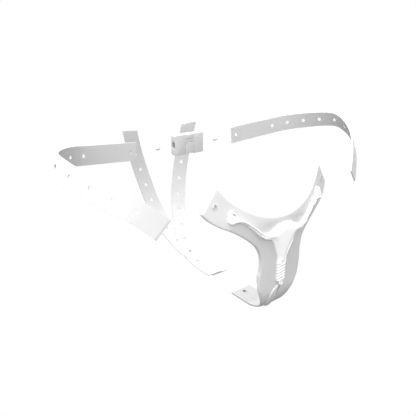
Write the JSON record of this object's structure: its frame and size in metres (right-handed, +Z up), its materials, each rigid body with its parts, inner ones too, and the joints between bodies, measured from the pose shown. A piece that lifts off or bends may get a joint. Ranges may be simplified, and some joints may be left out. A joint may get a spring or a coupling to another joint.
{
  "type": "neck brace",
  "caption": "Neck brace laid out in pieces: ribbed front shell, two ring straps, two rear straps and a push-button buckle with catch balls.",
  "frame": {"origin": "middle of the neck opening, level with the middle of the buckle", "axes": "+Z up, +Y towards the back of the neck, +X to the right as seen from the front"},
  "size_m": [0.345, 0.2105, 0.1651],
  "materials": {
    "shell_plastic": "satin moulded plastic, light grey",
    "liner": "knitted cover over foam",
    "rib_plastic": "smooth white moulded plastic",
    "metal": "plain bright steel",
    "buckle_plastic": "fine matt moulded plastic",
    "inner_plastic": "dark moulded plastic",
    "ball": "polished white plastic",
    "strap": "smooth white flexible strap"
  },
  "bodies": {
    "shell": {"front_shell": "shell_plastic", "pad_liner": "liner", "chin_pad": "liner", "rib_yoke": "rib_plastic", "rib_folds": "rib_plastic", "rib_eyelet": "rib_plastic", "rib_tail": "rib_plastic", "rib_rivets": "metal", "arm_grommet_left": "shell_plastic", "arm_grommet_right": "shell_plastic", "foot_grommet": "shell_plastic"},
    "buckle": {"buckle_front_cover": "buckle_plastic", "buckle_rear_cover": "buckle_plastic", "keeper_tab": "buckle_plastic", "button_spring": "metal", "ball_socket_left": "inner_plastic", "ball_socket_right": "inner_plastic", "cover_screws": "metal"},
    "button": {"push_button": "buckle_plastic", "release_bar": "inner_plastic"},
    "ball_left": {"catch_ball_left": "ball"},
    "ball_right": {"catch_ball_right": "ball"},
    "ring_strap_left": {"ring_strap_left": "strap"},
    "ring_strap_right": {"ring_strap_right": "strap"},
    "rear_straps": {"rear_strap_left": "strap", "rear_strap_right": "strap"}
  },
  "joints": [
    {"name": "ring_adjust", "type": "slide", "parent": "shell", "child": "buckle", "axis": [0, 1, 0], "range_m": [-0.0191, 0]},
    {"name": "button_press", "type": "slide", "parent": "buckle", "child": "button", "axis": [0, 1, 0], "range_m": [0, 0.0015], "stiffness_N_per_m": 300, "springref_m": -0.002},
    {"name": "ring_strap_left_slide", "type": "slide", "parent": "buckle", "child": "ring_strap_left", "axis": [1, 0, 0], "range_m": [0, 0.043]},
    {"name": "ring_strap_right_slide", "type": "slide", "parent": "buckle", "child": "ring_strap_right", "axis": [-1, 0, 0], "range_m": [0, 0.043]},
    {"name": "catch_ball_left_slide", "type": "slide", "parent": "buckle", "child": "ball_left", "axis": [1, 0, 0], "range_m": [0, 0.0215]},
    {"name": "catch_ball_right_slide", "type": "slide", "parent": "buckle", "child": "ball_right", "axis": [-1, 0, 0], "range_m": [0, 0.0215]},
    {"name": "rear_straps_slide", "type": "slide", "parent": "shell", "child": "rear_straps", "axis": [0, -1, 0], "range_m": [0, 0.036]}
  ],
  "couplings": [
    {"joint": "catch_ball_left_slide", "follows": "ring_strap_left_slide", "ratio": 0.5},
    {"joint": "catch_ball_right_slide", "follows": "ring_strap_right_slide", "ratio": 0.5}
  ]
}
